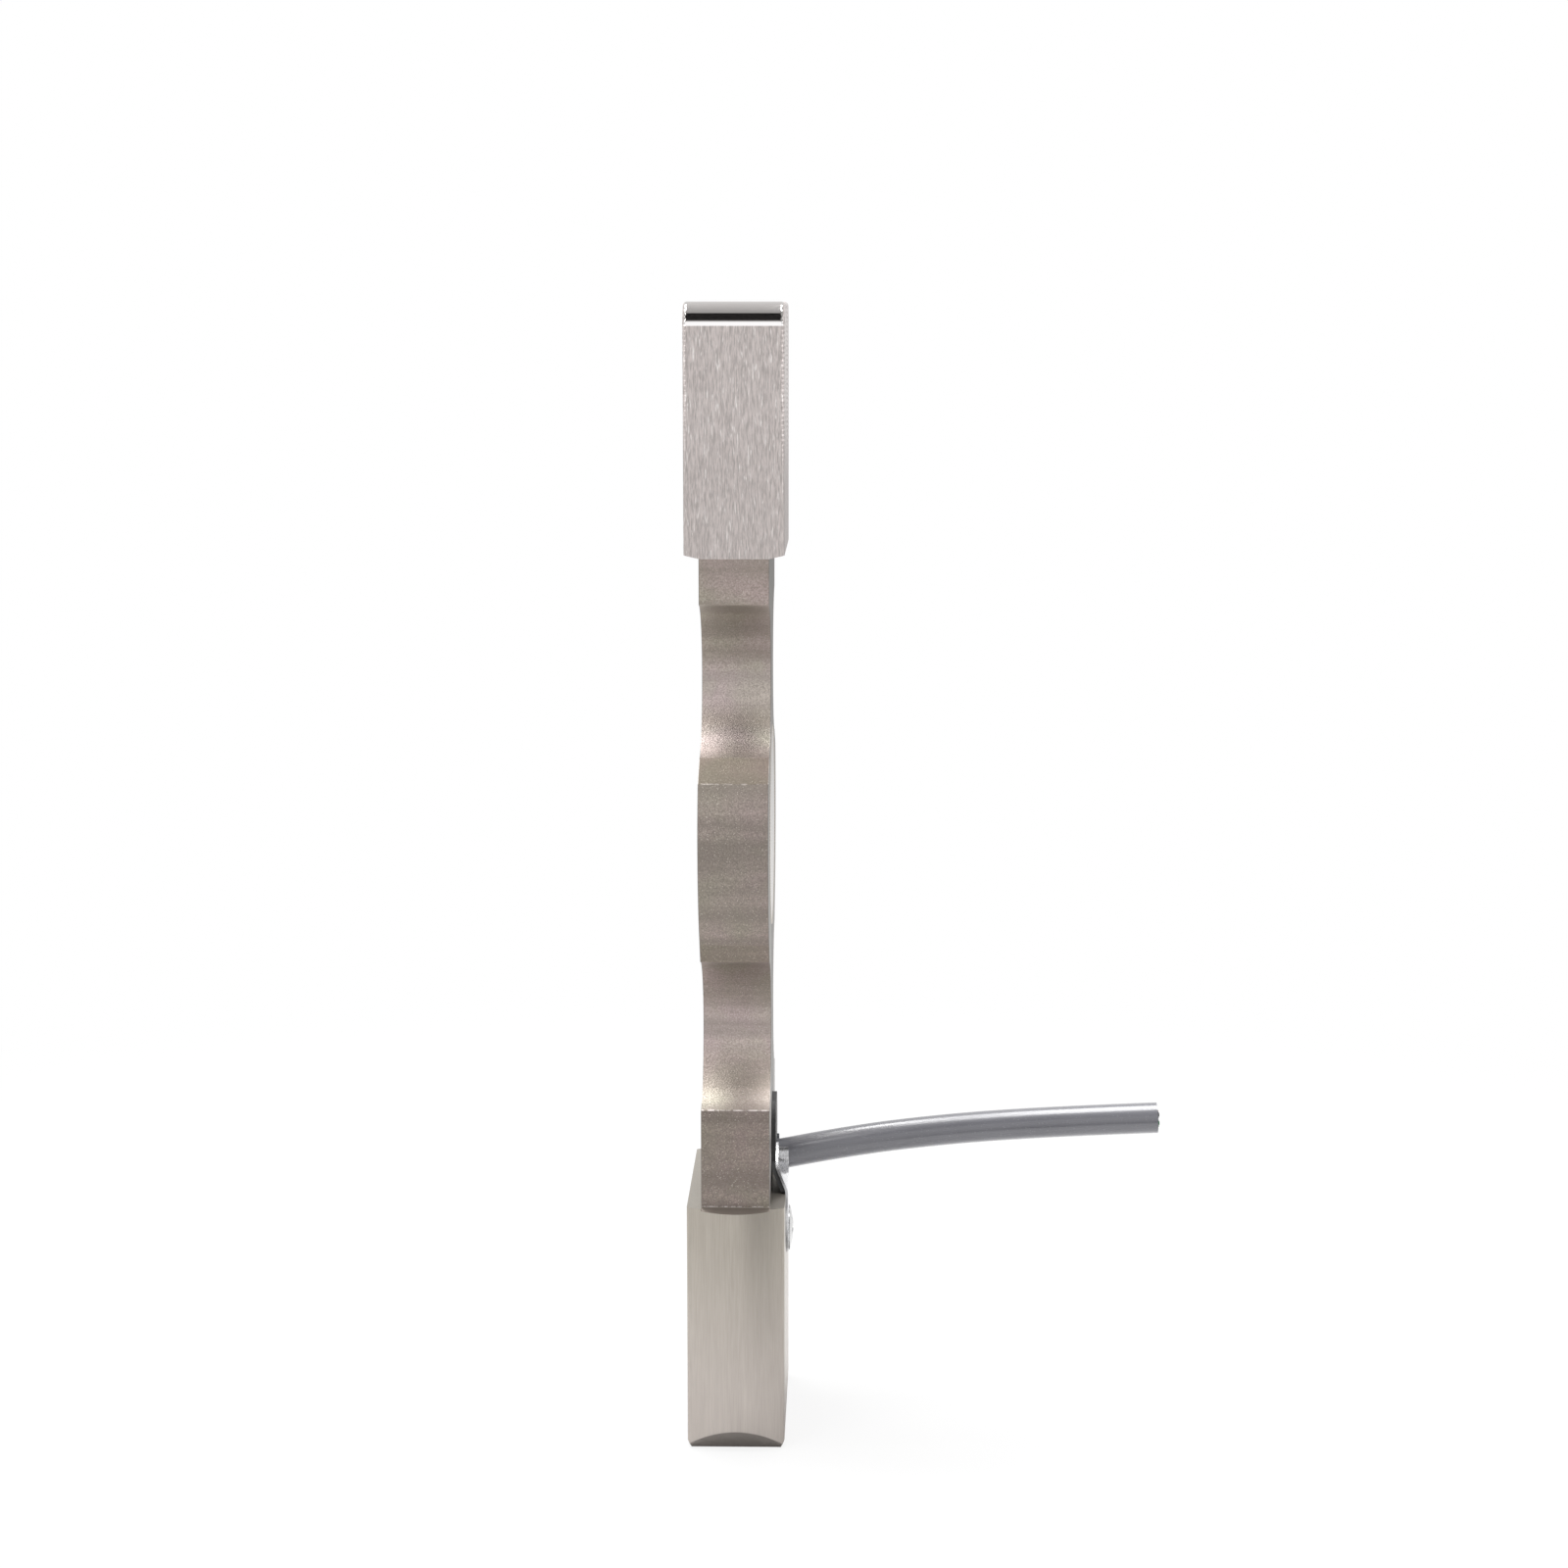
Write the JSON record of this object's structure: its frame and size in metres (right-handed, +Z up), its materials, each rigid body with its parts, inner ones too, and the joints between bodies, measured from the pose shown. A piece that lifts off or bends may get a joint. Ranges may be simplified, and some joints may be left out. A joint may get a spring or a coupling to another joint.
{
  "type": "strain gauge load cell",
  "caption": "Slim steel load cell for pull and push, with threaded end blocks, scalloped necks, a sealed measuring ring and a cable clipped to one side.",
  "frame": {"origin": "centre of the lower end face, which is the lower threaded end's face", "axes": "+Z up the load axis, +X through the thickness towards the side that the cable leaves, +Y across the width towards the back"},
  "size_m": [0.049, 0.032, 0.117],
  "materials": {
    "element_steel": "fine brushed end blocks, wire-cut matte middle",
    "cover_steel": "thin stainless sheet, welded round its edge",
    "gauge_foil": "amber film with a thin foil grid",
    "board": "coated glass-fibre board",
    "chip": "black chip resistor with tinned ends",
    "solder": "bright solder",
    "lead_wire": "enamelled copper wire",
    "core_red": "satin",
    "core_black": "satin",
    "core_green": "satin",
    "core_white": "satin",
    "compound": "set sealing compound",
    "pad_rubber": "smooth black rubber",
    "clip_steel": "bright stainless sheet",
    "screw_steel": "bright stainless, low dome",
    "cable_jacket": "glossy grey jacket"
  },
  "bodies": {
    "root": {"spring_body": "element_steel", "cover_right": "cover_steel", "cover_left": "cover_steel", "gauge_top": "gauge_foil", "gauge_bottom": "gauge_foil", "gauge_front": "gauge_foil", "gauge_rear": "gauge_foil", "terminal_board": "board", "balance_resistors": "chip", "solder_joints": "solder", "gauge_leads": "lead_wire", "core_red": "core_red", "core_black": "core_black", "core_green": "core_green", "core_white": "core_white", "channel_compound": "compound", "sealing_pad": "pad_rubber", "cable_clip": "clip_steel", "clip_screw": "screw_steel", "cable_sheath": "cable_jacket"}
  },
  "joints": []
}
